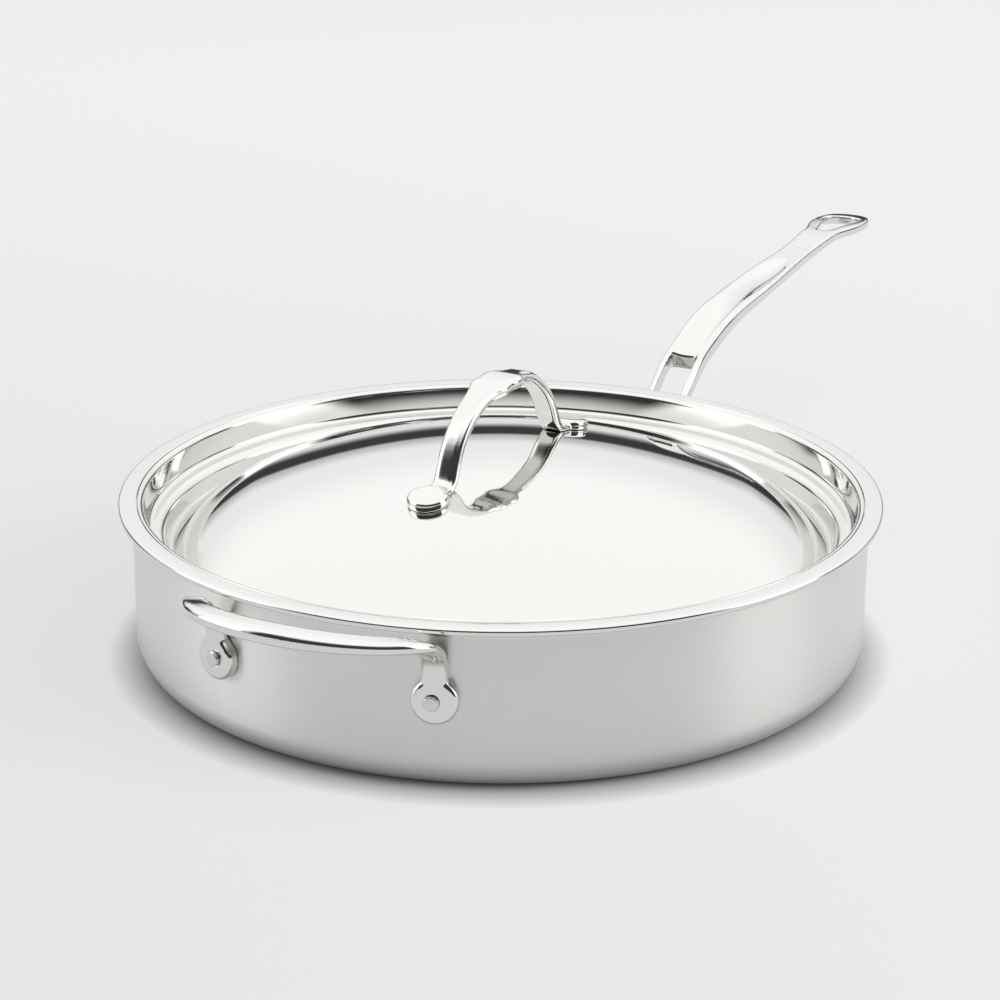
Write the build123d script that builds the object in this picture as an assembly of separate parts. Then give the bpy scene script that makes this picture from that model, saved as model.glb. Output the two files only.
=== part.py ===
from build123d import *
import os
from math import asin, atan2, cos, degrees, pi, radians, sin

# Wide, low saute pan with a lid that nests in its rim. Millimetres.
# The origin is the centre of the base on the surface, +Z is up.
# The long handle points along +X and the helper handle along -X.

# Pan body
body_radius = 154.2
rim_height = 69.4
lip_width = 5.8
base_corner_radius = 13.5
lip_thickness = 3.0
under_lip_radius = 2.8
lip_edge_radius = 1.2

# Bonded layers of the pan wall, from the outside in
outer_skin_thickness = 0.6
core_thickness = 1.8
inner_skin_thickness = 0.6
rim_seal_width = 1.6

# Seat for the lid, cut into the inner corner of the rim
seat_width = 1.1
seat_depth = 1.6

# Lid
lid_sheet = 1.2
lid_edge_clearance = 0.3
lid_seat_gap = 0.05
lid_wall_clearance = 0.4
lid_wall_draft = 1.6
lid_brim_round_radius = 2.35
ledge_depth = 11.9
ledge_width = 7.3
ledge_round_radius = 4.2
wall_foot_radius = 2.6
groove_depth = 21.7
groove_run = 1.5
groove_radius = 1.1
crown_rise = 16.6
crown_drop = 16.95
crown_share = 0.75

# Rivets of both pan handles
rivet_radius = 3.1
rivet_proud = 1.7
rivet_edge = 0.5
rivet_head_radius = 5.2
rivet_head_thickness = 1.3
rivet_clearance = 0.05

# Eyes that the rivets hold against the wall
eye_radius = 9.5
eye_thickness = 4.7
eye_round_radius = 2.2
eye_drop = 30.6

# Helper handle
helper_eye_spacing = 95.6
helper_reach = 26.5
helper_rise = 31.6
helper_neck_width = 10.4
helper_neck_thickness = 4.6
helper_bar_width = 11.6
helper_bar_thickness = 6.6
helper_edge_share = 0.47

# Long handle
handle_reach = 267.4
handle_rise = 57.9
handle_eye_spacing = 32.0
handle_flange_width = 27.0
handle_flange_thickness = 5.4
handle_root_width = 20.2
handle_root_thickness = 8.0
handle_bar_width = 21.2
handle_bar_thickness = 5.4
handle_waist_width = 16.4
handle_loop_width = 27.8
handle_tip_thickness = 4.6
handle_edge_share = 0.24
window_width = 13.6
window_length = 24.0
window_from_wall = 16.8
window_round_radius = 2.0
channel_rim_width = 2.9
channel_depth = 1.5
channel_bulge_share = 0.3
loop_hole_length = 38.0
loop_hole_width = 19.0
loop_hole_narrow_radius = 3.4
loop_hole_wide_radius = 8.2
loop_wall = 10.0

# Lid handle
lid_turn = -3.2
strap_pad_spacing = 117.0
strap_pad_radius = 8.7
strap_pad_thickness = 4.2
strap_pad_round_radius = 1.6
strap_rise = 36.3
strap_arm_width = 10.4
strap_thumb_width = 18.0
strap_foot_thickness = 4.0
strap_arm_thickness = 5.0
strap_edge_share = 0.42

# Rivets driven up into the lid handle from under the lid
stud_radius = 2.5
stud_depth = 2.6
stud_head_radius = 5.5
stud_head_thickness = 1.0
stud_clearance = 0.05

# One overrun for every cut
overrun = 5.0

# Sizes that follow from the ones above
rim_radius = body_radius + lip_width
eye_height = rim_height - eye_drop
wall = outer_skin_thickness + core_thickness + inner_skin_thickness
bore_radius = body_radius - wall
lip_bottom = rim_height - lip_thickness
seat_radius = bore_radius + seat_width
seat_floor = rim_height - seat_depth
lid_edge_radius = seat_radius - lid_edge_clearance
lid_wall_radius = bore_radius - lid_wall_clearance - lid_sheet
lid_wall_foot_radius = lid_wall_radius - lid_wall_draft
ledge_height = rim_height - ledge_depth
groove_height = rim_height - groove_depth
groove_ring_radius = lid_wall_foot_radius - ledge_width - groove_run
crown_height = rim_height + crown_rise


def solid_of_revolution(points, radii):
    """Turn a closed outline of (radius, height) points about the upright axis."""
    outline = FilletPolyline([(r, z) for r, z in points], radius=radii, close=True)
    return revolve(Plane.XZ * make_face(outline), Axis.Z)


# Pan body: three bonded layers that share one shape

def layer_points(depth):
    """Centre of the base, base corner and wall top of the surface at a depth in the laminate."""
    wall_at = body_radius - depth
    return [(0, depth), (wall_at, depth), (wall_at, lip_bottom + depth)]


def pan_outer_skin():
    inner = outer_skin_thickness
    seal = rim_radius - rim_seal_width
    outside = layer_points(0) + [(seal, lip_bottom)]
    inside = [(seal, lip_bottom + inner)] + layer_points(inner)[::-1]
    radii = [0, base_corner_radius, under_lip_radius, 0]
    inside_radii = [0, under_lip_radius - inner, base_corner_radius - inner, 0]
    return solid_of_revolution(outside + inside, radii + inside_radii)


def pan_core():
    outer = outer_skin_thickness
    inner = outer + core_thickness
    seal = rim_radius - rim_seal_width
    under_top = rim_height - inner_skin_thickness
    under_seat = seat_floor - inner_skin_thickness
    behind_seat = seat_radius + inner_skin_thickness
    wall_at = body_radius - inner
    outside = layer_points(outer) + [(seal, lip_bottom + outer)]
    inside = [(seal, under_top), (behind_seat, under_top), (behind_seat, under_seat),
              (wall_at, under_seat), (wall_at, inner), (0, inner)]
    radii = [0, base_corner_radius - outer, under_lip_radius - outer, 0]
    inside_radii = [0, 0, 0, 0, base_corner_radius - inner, 0]
    return solid_of_revolution(outside + inside, radii + inside_radii)


def pan_inner_skin():
    outer = outer_skin_thickness + core_thickness
    seal = rim_radius - rim_seal_width
    under_top = rim_height - inner_skin_thickness
    under_seat = seat_floor - inner_skin_thickness
    behind_seat = seat_radius + inner_skin_thickness
    wall_at = body_radius - outer
    outside = [(0, outer), (wall_at, outer), (wall_at, under_seat), (behind_seat, under_seat),
               (behind_seat, under_top), (seal, under_top), (seal, lip_bottom)]
    inside = [(rim_radius, lip_bottom), (rim_radius, rim_height), (seat_radius, rim_height),
              (seat_radius, seat_floor), (bore_radius, seat_floor), (bore_radius, wall), (0, wall)]
    radii = [0, base_corner_radius - outer, 0, 0, 0, 0, 0]
    inside_radii = [lip_edge_radius, lip_edge_radius, 0, 0, 0, base_corner_radius - wall, 0]
    return solid_of_revolution(outside + inside, radii + inside_radii)


# Eyes and rivets, placed round the wall by the angle of their axis

def wall_angle(side, spacing):
    """Angle round the wall of an eye whose neighbour is a spacing away."""
    return degrees(asin(side * spacing / 2 / (body_radius + eye_thickness / 2)))


def radial_plane(angle, radius, height):
    """Plane on the wall that faces outwards, with its y direction up."""
    a = radians(angle)
    out = (cos(a), sin(a), 0)
    along = (-sin(a), cos(a), 0)
    return Plane(origin=(radius * cos(a), radius * sin(a), height), x_dir=along, z_dir=out)


def pan_cylinder():
    """The space that the pan body fills, for cutting what rests on its wall."""
    return extrude(Circle(body_radius), rim_height)


def eye(angle, height):
    """Round cushion-shaped foot that follows the wall."""
    depth = wall + eye_thickness
    disc = extrude(Circle(eye_radius), depth)
    disc = fillet(disc.edges().group_by(Axis.Z)[-1], eye_round_radius)
    return radial_plane(angle, bore_radius, height) * disc - pan_cylinder()


def rivet_bore(angle, height):
    """Hole for a rivet through whatever lies on its axis."""
    hole = extrude(Circle(rivet_radius + rivet_clearance), wall + eye_thickness + overrun)
    return radial_plane(angle, bore_radius - overrun / 2, height) * hole


def head_bore(angle, height):
    """Flat recess for a rivet's head in the inner face of the wall."""
    recess = extrude(Circle(rivet_head_radius + rivet_clearance), rivet_head_thickness + overrun)
    return radial_plane(angle, bore_radius - overrun, height) * recess


def pan_rivet(angle, height):
    """Solid rivet: a flush head inside the pan, a shank, and a bright end that stands proud."""
    length = wall + eye_thickness + rivet_proud
    shank = extrude(Circle(rivet_radius), length)
    shank = fillet(shank.edges().group_by(Axis.Z)[-1], rivet_edge)
    head = extrude(Circle(rivet_head_radius), rivet_head_thickness)
    place = radial_plane(angle, bore_radius, height)
    inside = extrude(Circle(bore_radius), rim_height)
    return place * (shank + head) - inside


helper_angles = [180 - wall_angle(side, helper_eye_spacing) for side in (-1, 1)]
handle_angles = [wall_angle(side, handle_eye_spacing) for side in (1, -1)]
rivet_places = [(a, eye_height) for a in helper_angles + handle_angles]


def drilled(layer):
    """A layer of the pan wall with the four rivet holes and their flush recesses."""
    for angle, height in rivet_places:
        layer = layer - rivet_bore(angle, height) - head_bore(angle, height)
    return layer


# Handle bars: flat sections with round edges, strung along a smooth path

def strung(path, shares, sides, widths, thicknesses, edge_share):
    """Loft through a section at each share of a path; a side is the direction of its width."""
    sections = []
    for share, side, width, thickness in zip(shares, sides, widths, thicknesses):
        tangent = path % share
        across = (side - tangent * side.dot(tangent)).normalized()
        place = Plane(origin=path @ share, x_dir=across, z_dir=tangent)
        sections.append(place * RectangleRounded(width, thickness, edge_share * thickness))
    return loft(sections)


def point_shares(path, points):
    """Share of the path at which it passes each of its points."""
    return [path.param_at_point(point) for point in points]


# Helper handle: an eye at each end of a bar that bows out from the wall

# shares of the way from foot to bar, of the half spacing and of the rise
helper_points_share = [
    (0.0, 1.0, 0.15), (0.01, 1.005, 0.38), (0.088, 1.022, 0.606), (0.29, 1.025, 0.812),
    (0.598, 0.90, 0.929), (0.893, 0.523, 0.984), (1.0, 0.0, 1.0)]
helper_sections = 29
helper_neck_share = 0.16
helper_growth_power = 4


def helper_path():
    """Centreline of the helper handle, from one eye to the other."""
    angle = radians(wall_angle(1, helper_eye_spacing))
    foot_x = (body_radius + eye_thickness / 2) * cos(angle)
    mid_x = rim_radius + helper_reach
    half = helper_eye_spacing / 2
    near = [Vector(-foot_x - x * (mid_x - foot_x), -y * half, eye_height + z * helper_rise)
            for x, y, z in helper_points_share]
    return Spline(near + [Vector(p.X, -p.Y, p.Z) for p in near[-2::-1]])


def helper_side(path, share):
    """Width direction: along the wall at the feet, level and square to the bar between them."""
    angle = radians(wall_angle(1, helper_eye_spacing))
    end = 1 if share < 0.5 else -1
    along_wall = Vector(sin(angle) * end, -cos(angle), 0) * end
    level = Vector(0, 0, 1).cross(path % share).normalized()
    from_foot = min(share, 1 - share) / helper_neck_share
    turn = min(from_foot ** 2, 1)
    return along_wall * (1 - turn) + level * turn


def helper_handle():
    path = helper_path()
    shares = [i / (helper_sections - 1) for i in range(helper_sections)]
    growths = [sin(pi * share) ** helper_growth_power for share in shares]
    wider = helper_bar_width - helper_neck_width
    thicker = helper_bar_thickness - helper_neck_thickness
    widths = [helper_neck_width + growth * wider for growth in growths]
    thicknesses = [helper_neck_thickness + growth * thicker for growth in growths]
    sides = [helper_side(path, share) for share in shares]
    handle = strung(path, shares, sides, widths, thicknesses, helper_edge_share)
    for angle in helper_angles:
        handle = handle + eye(angle, eye_height)
    for angle in helper_angles:
        handle = handle - rivet_bore(angle, eye_height)
    return handle - pan_cylinder()


# Long handle: a riveted flange, a forked root with a window, a channelled bar and a hanging loop

# shares of the reach and of the rise
handle_stations_share = [
    (0.008, -0.05), (0.014, 0.09), (0.032, 0.21), (0.062, 0.323), (0.100, 0.462), (0.151, 0.611),
    (0.207, 0.708), (0.300, 0.824), (0.429, 0.884), (0.578, 0.929), (0.707, 0.962), (0.782, 0.993),
    (0.856, 1.0), (0.922, 0.991), (0.953, 0.983), (0.975, 0.976), (0.990, 0.970), (0.999, 0.966)]
# shares of the growth from waist to loop, and of the loop's width towards its end
loop_start_share = [0.15, 0.60]
loop_end_share = [0.95, 0.82, 0.60, 0.30]
channel_stations = slice(4, 11)
# shares of the channel's depth, which fades out before the loop
channel_depth_shares = [1.0, 1.0, 1.0, 1.0, 1.0, 0.9, 0.25]


def handle_points():
    """Points of the long handle's centreline, all in the plane through the pan's axis."""
    return [Vector(body_radius + x * handle_reach, 0, eye_height + z * handle_rise)
            for x, z in handle_stations_share]


def handle_widths():
    flange, root, bar = handle_flange_width, handle_root_width, handle_bar_width
    waist, loop = handle_waist_width, handle_loop_width
    near = [flange, flange, (flange + root) / 2, root, root, root, root, bar, bar, (bar + waist) / 2, waist]
    growing = [waist + share * (loop - waist) for share in loop_start_share]
    return near + growing + [loop] + [share * loop for share in loop_end_share]


def handle_thicknesses():
    flange, root = handle_flange_thickness, handle_root_thickness
    bar, tip = handle_bar_thickness, handle_tip_thickness
    near = [flange, flange, (flange + root) / 2, root, root, root, root, (root + bar) / 2, bar, bar, bar]
    return near + [(bar + tip) / 2] + [tip] * (len(handle_stations_share) - len(near) - 1)


def handle_window():
    """The opening between the two prongs of the root, cut straight down."""
    middle = body_radius + window_from_wall + window_length / 2
    outline = Pos(middle, 0) * RectangleRounded(window_length, window_width, window_round_radius)
    return Pos(0, 0, eye_height) * extrude(outline, handle_rise + overrun)


def hanging_hole():
    """Rounded three-cornered hole in the loop, narrow towards the pan."""
    end = body_radius + handle_reach - loop_wall
    start = end - loop_hole_length
    side = loop_hole_width / 2 - loop_hole_wide_radius
    corners = Sketch() + Pos(start + loop_hole_narrow_radius, 0) * Circle(loop_hole_narrow_radius)
    for y in (-side, side):
        corners = corners + Pos(end - loop_hole_wide_radius, y) * Circle(loop_hole_wide_radius)
    outline = make_hull(corners.edges())
    return Pos(0, 0, eye_height) * extrude(outline, handle_rise + overrun)


def handle_channel(path, shares):
    """Shallow trough along the top of the bar, an oval bar sunk into it from above."""
    stations = list(zip(shares, handle_widths(), handle_thicknesses()))
    across = Vector(0, 1, 0)
    sections = []
    for (share, width, thickness), sunk in zip(stations[channel_stations], channel_depth_shares):
        tangent = path % share
        up = tangent.cross(across)
        half_width = width / 2 - channel_rim_width
        height = half_width * channel_bulge_share
        centre = path @ share + up * (thickness / 2 + height - sunk * channel_depth)
        sections.append(Plane(origin=centre, x_dir=across, z_dir=tangent) * Ellipse(half_width, height))
    return loft(sections)


def long_handle():
    points = handle_points()
    path = Spline(points)
    shares = point_shares(path, points)
    sides = [Vector(0, 1, 0)] * len(points)
    handle = strung(path, shares, sides, handle_widths(), handle_thicknesses(), handle_edge_share)
    for angle in handle_angles:
        handle = handle + eye(angle, eye_height)
    handle = handle - handle_channel(path, shares) - handle_window() - hanging_hole()
    for angle in handle_angles:
        handle = handle - rivet_bore(angle, eye_height)
    return handle - pan_cylinder()


# Lid: one drawn sheet with a brim in the pan's seat, an upright wall, a rounded ledge, a groove
# and a crown whose outline is a tight shoulder arc that runs into a wide one

def arc_point(centre, radius, turn):
    """Point of an arc at a turn from straight up."""
    return (centre[0] + radius * sin(turn), centre[1] + radius * cos(turn))


def rounded(face, corners):
    """Round the corners of a flat face, each given as a place and a radius."""
    for place, radius in corners:
        face = fillet(face.vertices().sort_by_distance((place[0], place[1], 0))[0], radius)
    return face


def crown_arcs():
    """Both arcs of the crown as centre and radius, and the turns where the first and the second end."""
    join = (crown_share * groove_ring_radius, crown_height - crown_drop)
    crown_radius = (join[0] ** 2 + crown_drop ** 2) / (2 * crown_drop)
    turn = asin(join[0] / crown_radius)
    across, down = groove_ring_radius - join[0], join[1] - groove_height
    fall = down * cos(turn) - across * sin(turn)
    shoulder_radius = (across ** 2 + down ** 2) / (2 * fall)
    crown_centre = (0, crown_height - crown_radius)
    shoulder_centre = (join[0] - shoulder_radius * sin(turn), join[1] - shoulder_radius * cos(turn))
    end_turn = atan2(groove_ring_radius - shoulder_centre[0], groove_height - shoulder_centre[1])
    return (crown_centre, crown_radius, turn), (shoulder_centre, shoulder_radius, end_turn)


def space_above_lid():
    """Half outline of the space over the lid and inside its wall, up past the rim."""
    (crown_centre, crown_radius, turn), (shoulder_centre, shoulder_radius, end_turn) = crown_arcs()
    apex, top = (0, crown_height), (0, crown_height + overrun)
    join_point = arc_point(crown_centre, crown_radius, turn)
    crown_middle = arc_point(crown_centre, crown_radius, turn / 2)
    shoulder_middle = arc_point(shoulder_centre, shoulder_radius, (turn + end_turn) / 2)
    groove = (groove_ring_radius, groove_height)
    ledge_edge = (groove_ring_radius + groove_run, ledge_height)
    wall_foot = (lid_wall_foot_radius, ledge_height)
    wall_top = (lid_wall_radius, rim_height)
    outline = [ThreePointArc(apex, crown_middle, join_point),
               ThreePointArc(join_point, shoulder_middle, groove),
               Polyline(groove, ledge_edge, wall_foot, wall_top, (lid_wall_radius, top[1]), top, apex)]
    corners = [(groove, groove_radius), (ledge_edge, ledge_round_radius), (wall_foot, wall_foot_radius)]
    return rounded(make_face(Curve() + outline), corners)


def lid_profile():
    """Half outline of the lid sheet, with its brim."""
    above = space_above_lid()
    sheet = offset(above, lid_sheet) - above
    sheet = sheet & Rectangle(lid_edge_radius, crown_height, align=Align.MIN)
    over_rim = Pos(groove_ring_radius, rim_height) * Rectangle(lid_edge_radius, crown_height, align=Align.MIN)
    brim_floor = seat_floor + lid_seat_gap
    brim = Pos(lid_wall_radius, brim_floor) * Rectangle(
        lid_edge_radius - lid_wall_radius, rim_height - brim_floor, align=Align.MIN)
    profile = sheet - over_rim + brim
    return rounded(profile, [((lid_wall_radius, rim_height), lid_brim_round_radius)])


def crown_point(side):
    """Place on the crown under a pad of the lid handle, and the way out of the lid there."""
    centre, radius, turn = crown_arcs()[0]
    out = asin(side * strap_pad_spacing / 2 / radius)
    place = arc_point(centre, radius, out)
    along, away = (cos(out), 0, -sin(out)), (sin(out), 0, cos(out))
    return Plane(origin=(place[0], 0, place[1]), x_dir=along, z_dir=away)


def crown_ball(depth):
    """Ball whose top is the surface of the crown at a depth in the sheet."""
    centre, radius, turn = crown_arcs()[0]
    return Pos(0, 0, centre[1]) * Sphere(radius - depth)


def stud_bore(side):
    """Hole for a rivet through the lid and up into a pad."""
    depth = lid_sheet + overrun
    return crown_point(side) * Pos(0, 0, -depth) * extrude(
        Circle(stud_radius + stud_clearance), depth + stud_depth + stud_clearance)


def lid_shell():
    shell = revolve(Plane.XZ * lid_profile(), Axis.Z)
    for side in (-1, 1):
        shell = shell - stud_bore(side)
    return Rot(0, 0, lid_turn) * shell


def lid_rivet(side):
    """Rivet with a wide flat head under the lid and a shank that ends inside the pad."""
    head_drop = lid_sheet + stud_head_thickness
    head = extrude(Circle(stud_head_radius), stud_head_thickness)
    shank = extrude(Circle(stud_radius), head_drop + stud_depth)
    rivet = crown_point(side) * Pos(0, 0, -head_drop) * (head + shank)
    pierced_sheet = crown_ball(0) - crown_ball(lid_sheet) - stud_bore(side)
    return Rot(0, 0, lid_turn) * (rivet - pierced_sheet)


# Lid handle: one strap from pad to pad, widened to a thumb rest that stops short on one side

# shares of the half spacing, of the rise, of the growth from arm to thumb rest, and of foot to arm
strap_stations_share = [
    (-0.957, 0.05, 0.0, 0.0), (-0.861, 0.062, 0.0, 0.0), (-0.786, 0.111, 0.0, 0.4),
    (-0.744, 0.217, 0.0, 0.8), (-0.699, 0.398, 0.0, 1.0), (-0.612, 0.618, 0.0, 1.0),
    (-0.466, 0.814, 0.06, 1.0), (-0.33, 0.917, 0.2, 1.0), (-0.245, 0.957, 0.55, 1.0),
    (-0.165, 0.982, 0.96, 1.0), (-0.095, 0.993, 0.88, 1.0), (-0.02, 1.0, 1.0, 1.0),
    (0.055, 1.0, 0.92, 1.0), (0.115, 0.996, 0.3, 0.5), (0.18, 0.988, 0.0, 0.2),
    (0.26, 0.966, 0.0, 0.2), (0.345, 0.908, 0.0, 0.2), (0.435, 0.815, 0.0, 0.2),
    (0.57, 0.618, 0.0, 0.2), (0.655, 0.398, 0.0, 0.2), (0.71, 0.217, 0.0, 0.2),
    (0.77, 0.111, 0.0, 0.2), (0.861, 0.062, 0.0, 0.0), (0.957, 0.05, 0.0, 0.0)]


def strap_pad(side):
    """Round pad with a soft upper edge, standing on the crown."""
    pad = extrude(Circle(strap_pad_radius), strap_pad_thickness + overrun)
    pad = fillet(pad.edges().group_by(Axis.Z)[-1], strap_pad_round_radius)
    return crown_point(side) * Pos(0, 0, -overrun) * pad


def lid_handle():
    seat = crown_point(1).origin.Z
    half = strap_pad_spacing / 2
    points = [Vector(x * half, 0, seat + z * strap_rise) for x, z, wide, thick in strap_stations_share]
    widths = [strap_arm_width + wide * (strap_thumb_width - strap_arm_width)
              for x, z, wide, thick in strap_stations_share]
    thicknesses = [strap_foot_thickness + thick * (strap_arm_thickness - strap_foot_thickness)
                   for x, z, wide, thick in strap_stations_share]
    path = Spline(points)
    sides = [Vector(0, 1, 0)] * len(points)
    handle = strung(path, point_shares(path, points), sides, widths, thicknesses, strap_edge_share)
    for side in (-1, 1):
        handle = handle + strap_pad(side)
    handle = handle - crown_ball(0)
    for side in (-1, 1):
        handle = handle - stud_bore(side)
    return Rot(0, 0, lid_turn) * handle


nodes = {
    "pan_outer_skin": drilled(pan_outer_skin()),
    "pan_core": drilled(pan_core()),
    "pan_inner_skin": drilled(pan_inner_skin()),
    "long_handle": long_handle(),
    "long_handle_rivet_left": pan_rivet(handle_angles[0], eye_height),
    "long_handle_rivet_right": pan_rivet(handle_angles[1], eye_height),
    "helper_handle": helper_handle(),
    "helper_rivet_left": pan_rivet(helper_angles[0], eye_height),
    "helper_rivet_right": pan_rivet(helper_angles[1], eye_height),
    "lid_shell": lid_shell(),
    "lid_handle": lid_handle(),
    "lid_rivet_rear": lid_rivet(-1),
    "lid_rivet_front": lid_rivet(1),
}

os.makedirs("parts", exist_ok=True)
for name, shape in nodes.items():
    export_step(shape, f"parts/{name}.step")
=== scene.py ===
# %% [markdown]
# A wide saute pan with a nested lid, dressed for its portrait.
# The frame holds the real object as thirteen solids: three bonded layers of the pan, three cast
# handles, the lid and six rivets. This lesson keeps every size from that frame and adds what a
# solid can't hold: smooth turned sheet metal, soft cast corners, and the three finishes of steel.

# %% Load the frame
import bmesh
import bpy
import math
from mathutils import Matrix, Vector


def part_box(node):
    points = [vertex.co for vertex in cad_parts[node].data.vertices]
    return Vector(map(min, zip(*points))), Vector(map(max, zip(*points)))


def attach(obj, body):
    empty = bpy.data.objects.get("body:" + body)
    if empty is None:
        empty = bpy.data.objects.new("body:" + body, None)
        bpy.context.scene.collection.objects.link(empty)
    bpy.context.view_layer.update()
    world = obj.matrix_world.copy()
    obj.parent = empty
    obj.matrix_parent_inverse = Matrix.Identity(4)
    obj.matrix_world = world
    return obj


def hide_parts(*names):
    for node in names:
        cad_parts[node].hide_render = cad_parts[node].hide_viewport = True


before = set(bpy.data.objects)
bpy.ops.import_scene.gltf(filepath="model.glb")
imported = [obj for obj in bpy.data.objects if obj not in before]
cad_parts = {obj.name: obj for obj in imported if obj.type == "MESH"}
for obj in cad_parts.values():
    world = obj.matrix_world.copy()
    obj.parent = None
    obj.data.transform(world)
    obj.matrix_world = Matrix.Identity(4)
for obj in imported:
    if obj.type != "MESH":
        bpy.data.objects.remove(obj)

mm = 0.001
scene = bpy.context.scene
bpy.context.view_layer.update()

# %% [markdown]
# Sheet metal is easiest to describe by its outline: a few corners, each with a radius.
# The outer sizes come straight from the frame's boxes. Thicknesses and radii can't be read from a
# box, so they are named here once, in millimetres times mm, as the solids have them.

# %% Sizes of the pan and the lid
rim_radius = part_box("pan_inner_skin")[1].x
rim_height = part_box("pan_inner_skin")[1].z
lid_edge_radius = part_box("lid_shell")[1].x
crown_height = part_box("lid_shell")[1].z

lip_width = 5.8 * mm
lip_thickness = 3.0 * mm
under_lip_radius = 2.8 * mm
lip_edge_radius = 1.2 * mm
base_corner_radius = 13.5 * mm
skin_thickness = 0.6 * mm
core_thickness = 1.8 * mm
rim_seal_width = 1.6 * mm
seat_width = 1.1 * mm
seat_depth = 1.6 * mm
seat_edge_radius = 0.25 * mm

body_radius = rim_radius - lip_width
wall = 2 * skin_thickness + core_thickness
bore_radius = body_radius - wall
seat_radius = bore_radius + seat_width
print(f"rim {2 * rim_radius / mm:.1f} mm across, {rim_height / mm:.1f} mm high")

# %% [markdown]
# Everything round on this pan was made by turning a sheet, so every round piece here is made the
# same way: corners are joined into a wire, the wire's corners are bevelled into arcs, and a spin
# takes it once round the upright axis. A lathe modifier or a screw would do it too, but the
# operators leave a plain mesh that can be checked at once. A corner of radius r that turns by an
# angle t takes r * tan(t / 2) of each of its edges, which is the offset that the bevel wants.

# %% Outlines and the spin
turn_steps = 288
arc_segments = 10
merge_distance = 0.002 * mm
sharp_angle = math.radians(35)


def corner_offset(before, corner, after, radius):
    """How much of its edges a rounded corner takes."""
    turn = (corner - before).angle(after - corner)
    return radius * math.tan(turn / 2)


def wire(bm, corners, closed=False):
    """A wire through (radius, height, rounding) corners in the XZ plane, its corners bevelled."""
    places = [Vector((r, 0, z)) for r, z, _ in corners]
    verts = [bm.verts.new(place) for place in places]
    for first, second in zip(verts, verts[1:] + (verts[:1] if closed else [])):
        bm.edges.new((first, second))
    for i, vert in enumerate(verts):
        rounding = corners[i][2]
        if rounding:
            offset = corner_offset(places[i - 1], places[i], places[(i + 1) % len(places)], rounding)
            bmesh.ops.bevel(bm, geom=[vert], offset=offset, offset_type="OFFSET", affect="VERTICES",
                            segments=arc_segments, profile=0.5, material=-1)


def spun(bm, steps=turn_steps):
    """Spin a wire once round the upright axis and close its poles."""
    bmesh.ops.spin(bm, geom=bm.verts[:] + bm.edges[:], cent=(0, 0, 0), axis=(0, 0, 1),
                   angle=math.tau, steps=steps, use_merge=True)
    bmesh.ops.remove_doubles(bm, verts=bm.verts, dist=merge_distance)
    bmesh.ops.recalc_face_normals(bm, faces=bm.faces)
    return bm


def turned(corners):
    """A closed piece of revolution from a closed outline."""
    bm = bmesh.new()
    wire(bm, corners, closed=True)
    return spun(bm)


# %% [markdown]
# A bmesh only becomes part of the object when a mesh datablock and an object hold it.
# The frame then has to know three things about it: the body that carries it, the solid that it
# stands for, and the finish that it wears. One function says the first two, and wear gives the finish
# later.

# %% From bmesh to a piece
def piece_from(bm, name, body, nodes):
    """Give a bmesh an object that rides on a body and stands for frame nodes."""
    mesh = bpy.data.meshes.new(name)
    bm.to_mesh(mesh)
    bm.free()
    mesh.shade_smooth()
    mesh.set_sharp_from_angle(angle=sharp_angle)
    piece = bpy.data.objects.new(name, mesh)
    scene.collection.objects.link(piece)
    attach(piece, body)
    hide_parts(*nodes)
    print(f"{name}: {len(mesh.polygons)} faces")
    return piece


# %% [markdown]
# The pan's outer skin is one thin drawn sheet: a flat base, a generous corner, an upright wall and
# a lip that turns out. Its outline goes round the sheet's outside and comes back a skin deeper.

# %% Outer skin of the pan
def skin_line(depth, end_radius):
    """Corners of the pan's outer side at a depth in the wall, from the base's centre to the lip."""
    return [(0, depth, 0),
            (body_radius - depth, depth, base_corner_radius - depth),
            (body_radius - depth, rim_height - lip_thickness + depth, under_lip_radius - depth),
            (end_radius, rim_height - lip_thickness + depth, 0)]


seal_radius = rim_radius - rim_seal_width
outer_skin = turned(skin_line(0, seal_radius) + skin_line(skin_thickness, seal_radius)[::-1])

# %% [markdown]
# The inner skin lines the bowl and then folds over the rim, which seals the aluminium core in.
# Its rim is the brightest line of the whole pan: a flat top with a rounded outer edge, and a small
# step on the inside where the lid sits. Real edges are never sharp, so the step's edges get a
# quarter of a millimetre, which is what catches the light there.

# %% Inner skin of the pan
def lining_outline():
    """Corners of the lining, out under the base, up to the rim and back down the bowl."""
    depth = skin_thickness + core_thickness
    under_top, under_seat = rim_height - skin_thickness, rim_height - seat_depth - skin_thickness
    behind_seat = seat_radius + skin_thickness
    inside = body_radius - depth
    lip_bottom = rim_height - lip_thickness
    return [(0, depth, 0), (inside, depth, base_corner_radius - depth), (inside, under_seat, 0),
            (behind_seat, under_seat, 0), (behind_seat, under_top, 0), (seal_radius, under_top, 0),
            (seal_radius, lip_bottom, 0), (rim_radius, lip_bottom, lip_edge_radius),
            (rim_radius, rim_height, lip_edge_radius), (seat_radius, rim_height, seat_edge_radius),
            (seat_radius, rim_height - seat_depth, 0),
            (bore_radius, rim_height - seat_depth, seat_edge_radius),
            (bore_radius, wall, base_corner_radius - wall), (0, wall, 0)]


lining = turned(lining_outline())

# %% [markdown]
# Two rivets hold each pan handle. They pass through all three layers, and inside the pan their
# wide heads lie flush in round recesses. Each rivet is worked out once, as a placement matrix
# whose Z points out of the wall, and everything that belongs to the rivet uses that matrix.

# %% Places of the rivets
rivet_radius = 3.1 * mm
rivet_head_radius = 5.2 * mm
rivet_head_thickness = 1.3 * mm
rivet_clearance = 0.05 * mm

pan_rivets = ["helper_rivet_left", "helper_rivet_right",
              "long_handle_rivet_left", "long_handle_rivet_right"]


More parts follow.
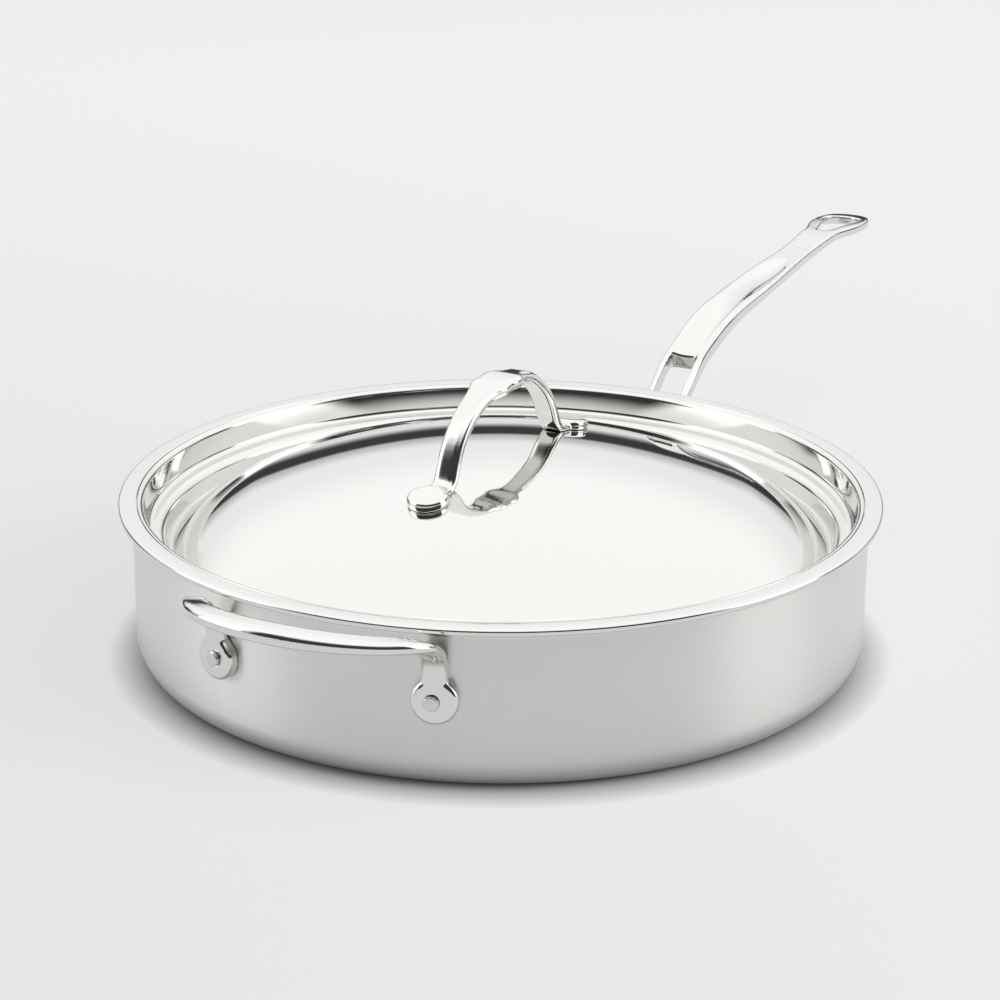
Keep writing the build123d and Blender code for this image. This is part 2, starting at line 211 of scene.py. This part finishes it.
def rivet_place(node):
    """Matrix on the pan's axis at a rivet's height, with its Z along the rivet."""
    low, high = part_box(node)
    centre = (low + high) / 2
    out = Vector((centre.x, centre.y, 0)).normalized()
    along = Vector((-out.y, out.x, 0))
    turn = Matrix((along, (0, 0, 1), out)).transposed().to_4x4()
    return Matrix.Translation((0, 0, centre.z)) @ turn


for node in pan_rivets:
    place = rivet_place(node)
    print(node, "angle", round(math.degrees(math.atan2(place[1][2], place[0][2])), 2))

# %% [markdown]
# A hole in a curved sheet is a boolean cut. The cutter is a plain cylinder, longer than the wall
# is thick, and the exact solver leaves clean edges on a mesh as regular as this one.

# %% Drilled sheets
overrun = 5 * mm
bore_segments = 64


def drill(bm, radius, start, end):
    """Cut a round hole at every pan rivet, from one distance off the axis to another."""
    cutter = bmesh.new()
    for node in pan_rivets:
        middle = Matrix.Translation((0, 0, (start + end) / 2))
        bmesh.ops.create_cone(cutter, cap_ends=True, segments=bore_segments, radius1=radius,
                              radius2=radius, depth=end - start, matrix=rivet_place(node) @ middle)
    sheet_mesh, cutter_mesh = bpy.data.meshes.new("sheet"), bpy.data.meshes.new("cutter")
    bm.to_mesh(sheet_mesh)
    cutter.to_mesh(cutter_mesh)
    sheet = bpy.data.objects.new("sheet", sheet_mesh)
    tool = bpy.data.objects.new("cutter", cutter_mesh)
    scene.collection.objects.link(sheet)
    scene.collection.objects.link(tool)
    cut = sheet.modifiers.new("holes", "BOOLEAN")
    cut.operation, cut.solver, cut.object = "DIFFERENCE", "EXACT", tool
    done = sheet.evaluated_get(bpy.context.evaluated_depsgraph_get()).to_mesh()
    bm.clear()
    bm.from_mesh(done)
    for leftover in (sheet, tool):
        bpy.data.objects.remove(leftover)
    cutter.free()


drill(outer_skin, rivet_radius + rivet_clearance, bore_radius - overrun, body_radius + overrun)
drill(lining, rivet_head_radius + rivet_clearance, bore_radius - overrun, body_radius + overrun)
pan_outer = piece_from(outer_skin, "pan_outer_sheet", "pan", ["pan_outer_skin"])
pan_lining = piece_from(lining, "pan_lining_sheet", "pan", ["pan_inner_skin"])

# %% [markdown]
# The lid is one drawn sheet too, but its crown isn't a straight line: a wide arc meets a tighter
# one on the shoulder, and both meet in a common tangent so that a reflection runs across the joint
# without a kink. Spinning a single vertex about each arc's centre draws exactly that. After it
# come the groove, the steep inner wall, the rounded ledge and the upright wall up to the brim.

# %% Outline of the lid
lid_sheet = 1.2 * mm
lid_play = 0.4 * mm
wall_draft = 1.6 * mm
brim_round_radius = 2.35 * mm
brim_edge_radius = 0.3 * mm
brim_segments = 3
brim_edge_angle = math.radians(80)
wall_foot_radius = 2.6 * mm
ledge_depth = 11.9 * mm
ledge_width = 7.3 * mm
ledge_round_radius = 4.2 * mm
groove_depth = 21.7 * mm
groove_run = 1.5 * mm
groove_radius = 1.1 * mm
crown_drop = 16.95 * mm
crown_share = 0.75
crown_steps = 40
shoulder_steps = 16

lid_wall_radius = bore_radius - lid_play - lid_sheet
lid_wall_foot_radius = lid_wall_radius - wall_draft
ledge_edge_radius = lid_wall_foot_radius - ledge_width
groove_ring_radius = ledge_edge_radius - groove_run
ledge_height = rim_height - ledge_depth
groove_height = rim_height - groove_depth


def crown_arcs():
    """Centre and turn of the crown's two arcs, from the apex to the join and on to the groove."""
    reach = crown_share * groove_ring_radius
    crown_radius = (reach ** 2 + crown_drop ** 2) / (2 * crown_drop)
    turn = math.asin(reach / crown_radius)
    across = groove_ring_radius - reach
    down = crown_height - crown_drop - groove_height
    fall = down * math.cos(turn) - across * math.sin(turn)
    shoulder_radius = (across ** 2 + down ** 2) / (2 * fall)
    crown_centre = Vector((0, 0, crown_height - crown_radius))
    join = Vector((reach, 0, crown_height - crown_drop))
    shoulder_centre = join - shoulder_radius * Vector((math.sin(turn), 0, math.cos(turn)))
    end = math.atan2(groove_ring_radius - shoulder_centre.x, groove_height - shoulder_centre.z)
    return (crown_centre, turn), (shoulder_centre, end - turn)


def traced(bm, vert, centre, angle, steps):
    """Carry a vertex round a centre in the XZ plane and return where it ends."""
    made = bmesh.ops.spin(bm, geom=[vert], cent=centre, axis=(0, 1, 0), angle=angle, steps=steps)
    return next(g for g in made["geom_last"] if isinstance(g, bmesh.types.BMVert))


(crown_centre, crown_turn), (shoulder_centre, shoulder_turn) = crown_arcs()
print(f"crown arc {(crown_height - crown_centre.z) / mm:.0f} mm radius")


# %% [markdown]
# The arcs give the crown its upper side. The rest of the outline is corners again, each bevelled
# with its own radius, and solidify gives the spun surface the thickness of the sheet. The normals
# are put right before that, because on a closed shell a later recalculation would turn the
# underside round. Last, the brim's cut edge is softened.

# %% Lid sheet
def lid_surface():
    """The lid's upper side without thickness, from the apex to the brim's edge."""
    bm = bmesh.new()
    apex = bm.verts.new((0, 0, crown_height))
    join = traced(bm, apex, crown_centre, crown_turn, crown_steps)
    groove = traced(bm, join, shoulder_centre, shoulder_turn, shoulder_steps)
    shoulder = groove.link_edges[0].other_vert(groove)
    line = [(groove_ring_radius, groove_height, groove_radius),
            (ledge_edge_radius, ledge_height, ledge_round_radius),
            (lid_wall_foot_radius, ledge_height, wall_foot_radius),
            (lid_wall_radius, rim_height, brim_round_radius),
            (lid_edge_radius, rim_height, 0)]
    verts = [groove] + [bm.verts.new((r, 0, z)) for r, z, _ in line[1:]]
    for first, second in zip(verts, verts[1:]):
        bm.edges.new((first, second))
    places = [shoulder.co.copy()] + [vert.co.copy() for vert in verts]
    for i, vert in enumerate(verts[:-1]):
        offset = corner_offset(*places[i:i + 3], line[i][2])
        bmesh.ops.bevel(bm, geom=[vert], offset=offset, offset_type="OFFSET", affect="VERTICES",
                        segments=arc_segments, profile=0.5, material=-1)
    return spun(bm)


def lid_shell_piece():
    bm = lid_surface()
    if bm.faces[0].normal.z < 0:
        bmesh.ops.reverse_faces(bm, faces=bm.faces)
    bmesh.ops.solidify(bm, geom=bm.faces[:], thickness=lid_sheet)
    edge = [e for e in bm.edges if e.calc_face_angle(0) > brim_edge_angle
            and min(v.co.xy.length for v in e.verts) > lid_edge_radius - lid_sheet / 2]
    bmesh.ops.bevel(bm, geom=edge, offset=brim_edge_radius, offset_type="OFFSET", affect="EDGES",
                    segments=brim_segments, profile=0.5, material=-1)
    return piece_from(bm, "lid_sheet", "lid", ["lid_shell"])


lid = lid_shell_piece()

# %% [markdown]
# The handles are castings. Where a neck runs into its round eye there is no corner, only a soft
# hollow that the wax pattern had. Modelling that by hand means a hard topology puzzle, and a bevel
# fails where loft and disc meet at a shallow angle. So the frame's solid is used as the pattern:
# its copy is wrapped in an even voxel skin, and a few rounds of smoothing melt every joint alike.
# The voxels have to be much finer than the smallest round, or a polished surface shows ripples.
# Smoothing would also widen the rivet holes, so they are plugged before it and drilled after it.
# A second, shallow cut leaves the fine dark ring that shows round a rivet's end.

# %% Cast handles
cast_voxel = 0.42 * mm
cast_rounds = 14
cast_share = 0.5
eye_thickness = 4.7 * mm
plug_sink = 0.6 * mm
ring_width = 0.4 * mm
ring_depth = 0.6 * mm


def wrap(bm, voxel):
    """Replace a closed mesh by an even quad skin round it."""
    mesh = bpy.data.meshes.new("pattern")
    bm.to_mesh(mesh)
    pattern = bpy.data.objects.new("pattern", mesh)
    scene.collection.objects.link(pattern)
    skin = pattern.modifiers.new("skin", "REMESH")
    skin.mode, skin.voxel_size = "VOXEL", voxel
    done = pattern.evaluated_get(bpy.context.evaluated_depsgraph_get()).to_mesh()
    bm.clear()
    bm.from_mesh(done)
    bpy.data.objects.remove(pattern)


def plug(bm, rivet):
    """Fill a rivet's hole in an eye, flush with its outer face."""
    middle = Matrix.Translation((0, 0, body_radius + (plug_sink + eye_thickness) / 2))
    radius = rivet_radius + cast_voxel
    bmesh.ops.create_cone(bm, cap_ends=True, segments=bore_segments, radius1=radius, radius2=radius,
                          depth=eye_thickness - plug_sink, matrix=rivet_place(rivet) @ middle)


def casting(name, node, body, rivets=()):
    """A smoothed skin of a cast solid, with clean holes for its rivets."""
    bm = bmesh.new()
    bm.from_mesh(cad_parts[node].data)
    bmesh.ops.remove_doubles(bm, verts=bm.verts, dist=merge_distance)
    for rivet in rivets:
        plug(bm, rivet)
    wrap(bm, cast_voxel)
    for _ in range(cast_rounds):
        bmesh.ops.smooth_vert(bm, verts=bm.verts, factor=cast_share,
                              use_axis_x=True, use_axis_y=True, use_axis_z=True)
    if rivets:
        face = body_radius + eye_thickness
        drill(bm, rivet_radius + rivet_clearance, bore_radius, face + overrun)
        drill(bm, rivet_radius + ring_width, face - ring_depth, face + overrun)
    return piece_from(bm, name, body, [node])


long_handle = casting("long_handle_casting", "long_handle", "pan", pan_rivets[2:])
helper_handle = casting("helper_handle_casting", "helper_handle", "pan", pan_rivets[:2])
lid_handle = casting("lid_handle_casting", "lid_handle", "lid")

# %% [markdown]
# A rivet's outer end is the one place where a hand hammer or a press has touched the metal: it
# stands proud with a soft edge and a very slight crown. Inside the pan its wide head is flush.
# The outline is spun about the rivet's own axis and then set in place by the rivet's matrix.
# The crown gets one middle corner: half way out a parabola has fallen by a quarter.

# %% Rivets of the pan handles
rivet_proud = 1.7 * mm
rivet_edge_radius = 0.6 * mm
rivet_crown = 0.18 * mm
rivet_head_edge_radius = 0.15 * mm
rivet_steps = 64


def rivet_piece(node):
    """A whole rivet: crowned end, shank and flush inner head."""
    top = body_radius + eye_thickness + rivet_proud
    inner = bore_radius + rivet_head_thickness
    bm = bmesh.new()
    wire(bm, [(0, top, 0), (rivet_radius / 2, top - rivet_crown / 4, 0),
              (rivet_radius, top - rivet_crown, rivet_edge_radius), (rivet_radius, inner, 0),
              (rivet_head_radius, inner, 0), (rivet_head_radius, bore_radius, rivet_head_edge_radius),
              (0, bore_radius, 0)])
    spun(bm, rivet_steps)
    bmesh.ops.transform(bm, matrix=rivet_place(node), verts=bm.verts)
    return piece_from(bm, f"{node}_end", "pan", [node])


rivet_pieces = [rivet_piece(node) for node in pan_rivets]

# %% [markdown]
# A material is a small program, and its maths reads best as maths. This class wraps a socket so
# that `1 - mask * 0.5` adds the Math nodes by itself. Everything else goes through one method,
# which takes the node's type, its settings and what its sockets receive.

# %% Shader maths
class Signal:
    """A node's output that can be used in sums."""

    def __init__(self, finish, socket):
        self.finish, self.socket = finish, socket

    def math(self, operation, *values):
        return self.finish.node("Math", {"operation": operation}, dict(enumerate(values)))

    def __add__(self, other):
        return self.math("ADD", self, other)

    def __sub__(self, other):
        return self.math("SUBTRACT", self, other)

    def __rsub__(self, other):
        return self.math("SUBTRACT", other, self)

    def __mul__(self, other):
        return self.math("MULTIPLY", self, other)

    def __truediv__(self, other):
        return self.math("DIVIDE", self, other)

    def __pow__(self, other):
        return self.math("POWER", self, other)

    __radd__, __rmul__ = __add__, __mul__


class Finish:
    """A material, or the world, and the one way to add nodes to it."""

    def __init__(self, owner):
        self.owner = owner
        owner.use_nodes = True
        self.tree = owner.node_tree

    def node(self, kind, settings, inputs, output=0):
        made = self.tree.nodes.new("ShaderNode" + kind)
        for name, value in settings.items():
            setattr(made, name, value)
        for key, value in inputs.items():
            self.feed(made.inputs[key], value)
        return Signal(self, made.outputs[output])

    def feed(self, socket, value):
        if isinstance(value, Signal):
            self.tree.links.new(value.socket, socket)
        else:
            socket.default_value = value

    def surface(self, **inputs):
        """Set or link sockets of the Principled shader, named with _ for a space."""
        principled = self.tree.nodes["Principled BSDF"]
        for key, value in inputs.items():
            self.feed(principled.inputs[key.replace("_", " ")], value)


def material(name):
    return Finish(bpy.data.materials.new(name))


def wear(piece, finish):
    piece.data.materials.clear()
    piece.data.materials.append(finish.owner)


# %% [markdown]
# Polished and brushed steel differ in one thing: how fine the scratches are, and which way they
# run. Turned sheet has its scratches round the axis. A stretched noise makes them: it changes
# slowly in X and Y, and fast along the outline, for which radius plus or minus height will do.
# Nothing here needs a seam, as an angle from an arc tangent would.

# %% Turned metal
def grey(level, tint=(1.0, 1.0, 1.0)):
    return (level * tint[0], level * tint[1], level * tint[2], 1.0)


def turned_lines(finish, slope, fine, long):
    """Noise from 0 to 1 in rings round the upright axis; slope is +1 on walls that rise outwards."""
    place = finish.node("TexCoord", {}, {}, "Object")
    x = finish.node("SeparateXYZ", {}, {0: place}, 0)
    y = finish.node("SeparateXYZ", {}, {0: place}, 1)
    z = finish.node("SeparateXYZ", {}, {0: place}, 2)
    radius = (x * x + y * y) ** 0.5
    rings = finish.node("CombineXYZ", {}, {0: x * long, 1: y * long, 2: (radius + z * slope) * fine})
    return finish.node("TexNoise", {}, {"Vector": rings, "Scale": 1.0, "Detail": 3.0}, "Fac")


def blotches(finish, scale, detail=2.0):
    """Noise from 0 to 1 that is alike in every direction."""
    place = finish.node("TexCoord", {}, {}, "Object")
    return finish.node("TexNoise", {}, {"Vector": place, "Scale": scale, "Detail": detail}, "Fac")


def bumped(finish, height, distance):
    return finish.node("Bump", {}, {"Height": height, "Distance": distance, "Strength": 1.0})


steel_tint = (1.0, 0.994, 0.972)


def satin_wall():
    finish = material("satin_wall")
    lines = turned_lines(finish, slope=1.0, fine=5200.0, long=14.0)
    broad = blotches(finish, scale=18.0)
    finish.surface(Base_Color=grey(0.78, steel_tint), Metallic=1.0,
                   Anisotropic=0.8, Anisotropic_Rotation=0.25,
                   Roughness=0.32 + lines * 0.05 + broad * 0.04,
                   Normal=bumped(finish, lines, distance=0.006 * mm))
    return finish


def polished_lining():
    finish = material("polished_lining")
    lines = turned_lines(finish, slope=1.0, fine=4200.0, long=10.0)
    finish.surface(Base_Color=grey(0.74, steel_tint), Metallic=1.0,
                   Roughness=0.08 + lines * 0.05,
                   Normal=bumped(finish, lines, distance=0.002 * mm))
    return finish


def mirror_lid():
    finish = material("mirror_lid")
    lines = turned_lines(finish, slope=-1.0, fine=2600.0, long=8.0)
    swell = blotches(finish, scale=22.0, detail=1.0)
    finish.surface(Base_Color=grey(0.73, steel_tint), Metallic=1.0,
                   Roughness=0.03 + lines * 0.025,
                   Normal=bumped(finish, swell + lines * 0.02, distance=0.02 * mm))
    return finish


wear(pan_outer, satin_wall())
wear(pan_lining, polished_lining())
wear(lid, mirror_lid())

# %% [markdown]
# A casting is polished by hand on a soft wheel. It ends almost as bright as the lid, but its
# surface keeps a slow swell, which bends reflections, and the wheel leaves it a little milky.

# %% Cast and riveted metal
def cast_polish():
    finish = material("cast_polish")
    swell = blotches(finish, scale=90.0, detail=1.5)
    haze = blotches(finish, scale=420.0, detail=3.0)
    finish.surface(Base_Color=grey(0.74, steel_tint), Metallic=1.0,
                   Roughness=0.05 + haze * 0.04,
                   Normal=bumped(finish, swell, distance=0.05 * mm))
    return finish


def rivet_satin():
    finish = material("rivet_satin")
    grain = blotches(finish, scale=2400.0, detail=4.0)
    finish.surface(Base_Color=grey(0.68, steel_tint), Metallic=1.0,
                   Roughness=0.24 + grain * 0.12,
                   Normal=bumped(finish, grain, distance=0.01 * mm))
    return finish


def core_metal():
    finish = material("core_metal")
    lines = turned_lines(finish, slope=1.0, fine=3000.0, long=20.0)
    finish.surface(Base_Color=grey(0.78), Metallic=1.0, Roughness=0.3 + lines * 0.1)
    return finish


cast_finish, rivet_finish = cast_polish(), rivet_satin()
for piece in (long_handle, helper_handle, lid_handle):
    wear(piece, cast_finish)
for piece in rivet_pieces:
    wear(piece, rivet_finish)
for node in ("lid_rivet_front", "lid_rivet_rear"):
    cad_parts[node].material_slots[0].material = rivet_finish.owner
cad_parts["pan_core"].material_slots[0].material = core_metal().owner

# %% [markdown]
# The camera stands where the photographer's stood: low, a long lens, the helper handle to the
# left. Its place was solved once from the ellipses of the rim and the base, so it is given as a
# distance and three angles about a point on the pan's axis.

# %% Camera
camera_azimuth = math.radians(-63.3)
camera_elevation = math.radians(19.3)
camera_roll = math.radians(0.3024)
camera_distance = 1.228944
aim_height = 0.064508
aim_aside = -0.000296

right = Vector((math.cos(camera_azimuth), math.sin(camera_azimuth), 0))
deep = Vector((-math.sin(camera_azimuth), math.cos(camera_azimuth), 0))
up = Vector((0, 0, 1))
aim = right * aim_aside + up * aim_height
view_line = deep * math.cos(camera_elevation) - up * math.sin(camera_elevation)
lens = bpy.data.cameras.new("camera")
lens.lens, lens.sensor_width = 105, 36
camera = bpy.data.objects.new("camera", lens)
camera.rotation_mode = "QUATERNION"
camera.location = aim - view_line * camera_distance
level = view_line.to_track_quat("-Z", "Y")
camera.rotation_quaternion = level @ Matrix.Rotation(camera_roll, 3, "Z").to_quaternion()
scene.collection.objects.link(camera)
scene.camera = camera

# %% [markdown]
# Metal shows nothing but its surroundings, so the studio is half of the material. The pale floor
# fills the picture and the lower half of every reflection. Most of its tone is a glow of its own,
# which takes no shadow, so where the pan stands a painted contact shadow dims the glow by how
# little free sky each point sees: within 16 mm for the camera, and a wider, darker painted shade
# within 30 mm that only the steel's reflections see. The world is pale to the camera and to
# reflections, and lights everything else at a plain level.

# %% Floor and world
floor_near, floor_far = 0.81, 0.98
floor_near_at, floor_far_at = -0.5, 1.4
floor_radius = 6.0
floor_segments = 96
floor_glow_share = 0.75
contact_reach, contact_power = 0.016, 1.3
mirrored_reach, mirrored_power = 0.03, 2.0
shade_samples = 8


def painted_contact_shade(finish, reach, power):
    """Painted shade: 1 on free floor, falling to 0 where something stands within reach."""
    seen = finish.node("AmbientOcclusion", {"samples": shade_samples}, {"Distance": reach}, "AO")
    return seen ** power


def studio_floor():
    """A pale disc that mostly glows, so that its tone stays even, and partly takes light."""
    bm = bmesh.new()
    bmesh.ops.create_circle(bm, cap_ends=True, radius=floor_radius, segments=floor_segments)
    mesh = bpy.data.meshes.new("floor")
    bm.to_mesh(mesh)
    bm.free()
    floor = bpy.data.objects.new("floor", mesh)
    scene.collection.objects.link(floor)
    finish = material("studio_floor")
    place = finish.node("TexCoord", {}, {}, "Object")
    away = finish.node("VectorMath", {"operation": "DOT_PRODUCT"}, {0: place, 1: deep}, "Value")
    spread = finish.node("MapRange", {"interpolation_type": "SMOOTHSTEP"},
                         {"Value": away, "From Min": floor_near_at, "From Max": floor_far_at,
                          "To Min": floor_near, "To Max": floor_far})
    mirrored = finish.node("LightPath", {}, {}, "Is Glossy Ray")
    # Painted contact shadow on the floor's glow; reflections see a wider, darker painted shade.
    shade = (painted_contact_shade(finish, contact_reach, contact_power) * (1 - mirrored)
             + painted_contact_shade(finish, mirrored_reach, mirrored_power) * mirrored)
    bright = spread * shade
    tone = finish.node("CombineColor", {}, {0: spread, 1: spread, 2: spread})
    lit = finish.node("BsdfDiffuse", {}, {"Color": tone})
    seen = finish.node("Emission", {}, {"Color": grey(1.0), "Strength": bright})
    both = finish.node("MixShader", {}, {0: floor_glow_share, 1: lit, 2: seen})
    finish.tree.nodes.remove(finish.tree.nodes["Principled BSDF"])
    finish.feed(finish.tree.nodes["Material Output"].inputs["Surface"], both)
    wear(floor, finish)


def studio_world(seen, level):
    """A plain world: seen is its strength to the camera and in steel, level its strength as light."""
    world = bpy.data.worlds.new("studio")
    scene.world = world
    finish = Finish(world)
    finish.tree.nodes.clear()
    rays = [finish.node("LightPath", {}, {}, f"Is {kind} Ray")
            for kind in ("Camera", "Glossy", "Transmission")]
    shows = finish.node("Math", {"operation": "MINIMUM"}, {0: rays[0] + rays[1] + rays[2], 1: 1.0})
    strength = shows * (seen - level) + level
    sky = finish.node("Background", {}, {"Color": grey(1.0), "Strength": strength})
    output = finish.tree.nodes.new("ShaderNodeOutputWorld")
    finish.feed(output.inputs["Surface"], sky)


studio_floor()
studio_world(seen=1.0, level=0.3)

# %% [markdown]
# Two jobs are kept apart here. Soft lamps light the floor and throw the soft shadows, and no
# reflection shows them. What the metal mirrors is a tent: a wide glowing shell that only reflections
# see, so its tones are painted reflections.

# %% Lamps
def softbox(name, place, size, glow):
    """A rectangular lamp; its glow is how bright its face looks, where 1 is white."""
    lamp = bpy.data.lights.new(name, "AREA")
    lamp.shape, lamp.size, lamp.size_y = "RECTANGLE", size[0], size[1]
    lamp.energy = glow * math.pi * size[0] * size[1]
    box = bpy.data.objects.new(name, lamp)
    box.location = place
    box.rotation_mode = "QUATERNION"
    box.rotation_quaternion = (aim - place).to_track_quat("-Z", "Y")
    box.visible_glossy = False
    scene.collection.objects.link(box)


softbox("top_lamp", place=up * 2.2 + right * 0.5 - deep * 0.9, size=(2.0, 2.0), glow=1.7)
softbox("right_lamp", place=right * 1.6 - deep * 0.8 + up * 1.1, size=(1.2, 1.0), glow=8.0)

# %% [markdown]
# Two numbers tell where on the tent a reflection looks. Turn is 1 on the camera's side of the pan,
# 0 to its left and right and -1 behind it. Height is 0 at the floor's level and 1 overhead.
# Both are directions in the room, so the tones stay where they are when the camera moves.
#
# Behind the pan the tent is pale at its foot, dark above that, and white again above a height of
# 0.27. The dark strip paints the black line reflected along the lid's far edge. To the left and right
# the tent is white, with brighter panels low down that paint highlights on the pan's wall, and
# diagonally behind the pan two dark gaps paint shade on its wall near both ends. The camera's side
# is unlit up to a height of 0.6, like a room with the lights off, and paints the black edges that
# polished steel reflects. A photographer gets all of this with white cloth and black cards.

# %% Tones of the tent
tent_white, tent_dark = 1.3, 0.05
foot_glow, foot_heights = 0.95, (-0.02, 0.09)
behind_steps = [(0.155, 0.18, 0.55), (0.175, 0.27, 0.45), (0.27, 0.56, 0.22)]
side_turns = (-0.3, -0.18)
highlight_panel_glow, highlight_panel_end_turns, highlight_panel_heights = 1.25, (0.2, 0.45), (0.04, 0.16, 0.35, 0.75)
shade_gap_lean, shade_gap_turns, shade_gap_end_heights = 0.17, (-0.72, -0.6, -0.42, -0.3), (0.2, 0.38)
unlit_turns, unlit_end_heights = (0.25, 0.5), (0.6, 0.93)


def ramp(finish, value, start, end):
    """0 before the start, 1 after the end, smooth between."""
    return finish.node("MapRange", {"interpolation_type": "SMOOTHSTEP"},
                       {"Value": value, "From Min": start, "From Max": end})


def band(finish, value, start, full, fade, end):
    """1 between full and fade, 0 before the start and after the end, smooth between."""
    return ramp(finish, value, start, full) * (1 - ramp(finish, value, fade, end))


def tent_level(finish):
    """How bright the tent's painted reflections are, by turn and height."""
    place = finish.node("TexCoord", {}, {}, "Object")
    way = finish.node("VectorMath", {"operation": "NORMALIZE"}, {0: place}, "Vector")
    towards = finish.node("VectorMath", {"operation": "DOT_PRODUCT"}, {0: way, 1: -deep}, "Value")
    aside = finish.node("VectorMath", {"operation": "DOT_PRODUCT"}, {0: way, 1: right}, "Value")
    height = finish.node("SeparateXYZ", {}, {0: way}, 2)
    flat = (1 - height * height) ** 0.5
    turn = towards / flat
    leaning = turn - aside / flat * shade_gap_lean
    # Painted reflection behind the pan: a pale foot, a dark strip for the lid's black far edge, white
    # above.
    behind = (1 - ramp(finish, height, *foot_heights)) * foot_glow
    for start, end, share in behind_steps:
        behind = behind + ramp(finish, height, start, end) * share
    beside = ramp(finish, turn, *side_turns)
    # Painted highlights: brighter panels low down at the sides, seen on the pan's wall.
    painted_highlight_panels = (beside * (1 - ramp(finish, turn, *highlight_panel_end_turns))
              * band(finish, height, *highlight_panel_heights) * highlight_panel_glow)
    # Painted shade: two dark gaps diagonally behind, seen on the pan's wall near its ends.
    painted_shade_gaps = band(finish, leaning, *shade_gap_turns) * (1 - ramp(finish, height, *shade_gap_end_heights))
    # Painted dark reflection: the camera's side, seen as black edges in polished steel.
    unlit = ramp(finish, turn, *unlit_turns) * (1 - ramp(finish, height, *unlit_end_heights))
    profile = behind + beside * (tent_white - behind) + painted_highlight_panels
    return profile * (1 - painted_shade_gaps) * (1 - unlit) + tent_dark


# %% [markdown]
# The shell itself is the upper half of a sphere, and it glows though it is no lamp. It hides from
# the camera, from diffuse light and from shadows, so all that it does is to paint reflections in the
# steel.

# %% Reflection tent
tent_radius = 4.0
tent_subdivisions = 4
tent_foot = -0.01


def reflection_tent():
    bm = bmesh.new()
    bmesh.ops.create_icosphere(bm, subdivisions=tent_subdivisions, radius=tent_radius)
    bmesh.ops.bisect_plane(bm, geom=bm.verts[:] + bm.edges[:] + bm.faces[:],
                           plane_co=(0, 0, tent_foot), plane_no=(0, 0, -1), clear_outer=True)
    mesh = bpy.data.meshes.new("reflection_tent")
    bm.to_mesh(mesh)
    bm.free()
    tent = bpy.data.objects.new("reflection_tent", mesh)
    scene.collection.objects.link(tent)
    finish = material("reflection_tent")
    glow = finish.node("Emission", {}, {"Color": grey(1.0), "Strength": tent_level(finish)})
    finish.tree.nodes.remove(finish.tree.nodes["Principled BSDF"])
    finish.feed(finish.tree.nodes["Material Output"].inputs["Surface"], glow)
    wear(tent, finish)
    tent.visible_camera = tent.visible_diffuse = tent.visible_shadow = False
    tent.visible_transmission = tent.visible_volume_scatter = False


reflection_tent()

# %% [markdown]
# The view transform stays Standard, so a colour renders as it is written.

# %% Finish
scene.view_settings.view_transform = "Standard"
